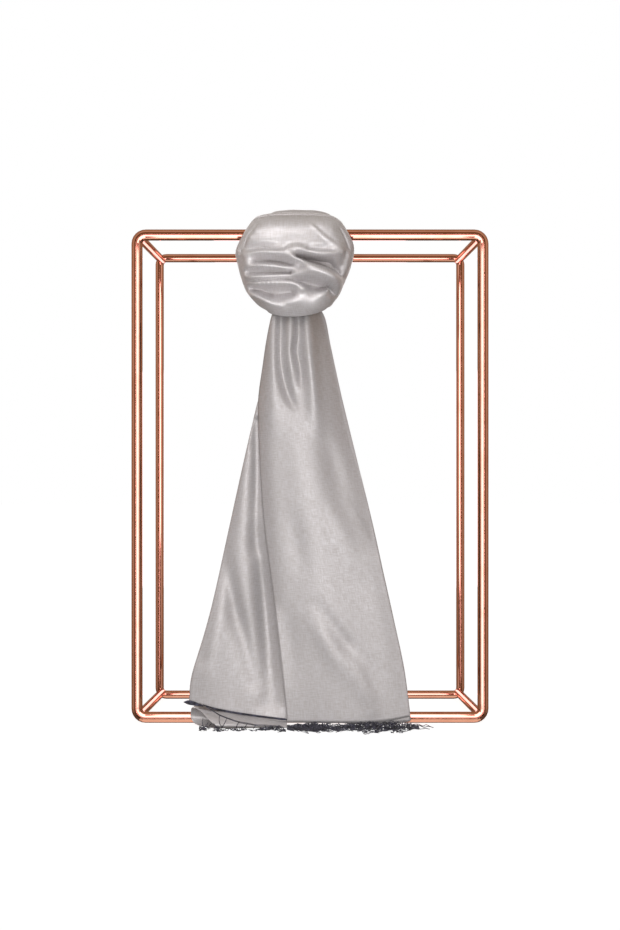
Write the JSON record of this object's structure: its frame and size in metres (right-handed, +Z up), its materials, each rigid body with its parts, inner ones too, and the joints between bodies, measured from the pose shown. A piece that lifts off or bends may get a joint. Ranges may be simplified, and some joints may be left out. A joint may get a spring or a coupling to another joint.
{
  "type": "evening stole on a display stand",
  "caption": "Satin evening stole with a netted fringe, folded lengthwise and closed in a round puffed knot over the top rail of a free-standing box frame of round tube.",
  "frame": {"origin": "on the floor, under the middle of the stand and the fringe in front of it", "axes": "+X to the viewer's right along the rails, +Y from the front hoop to the back hoop, +Z up"},
  "size_m": [0.571, 0.4046, 0.819],
  "materials": {
    "satin": "silver-grey satin with a fine cross weave",
    "fringe_yarn": "dark slate-blue knotted yarn",
    "copper_tube": "polished rose-copper plating"
  },
  "bodies": {
    "root": {"knot_wrap": "satin", "knot_saddle": "satin", "front_tail": "satin", "back_tail": "satin", "under_layer": "satin", "front_fringe": "fringe_yarn", "back_fringe": "fringe_yarn", "front_hoop": "copper_tube", "back_hoop": "copper_tube", "rail_top_left": "copper_tube", "rail_top_right": "copper_tube", "rail_bottom_left": "copper_tube", "rail_bottom_right": "copper_tube"}
  },
  "joints": []
}
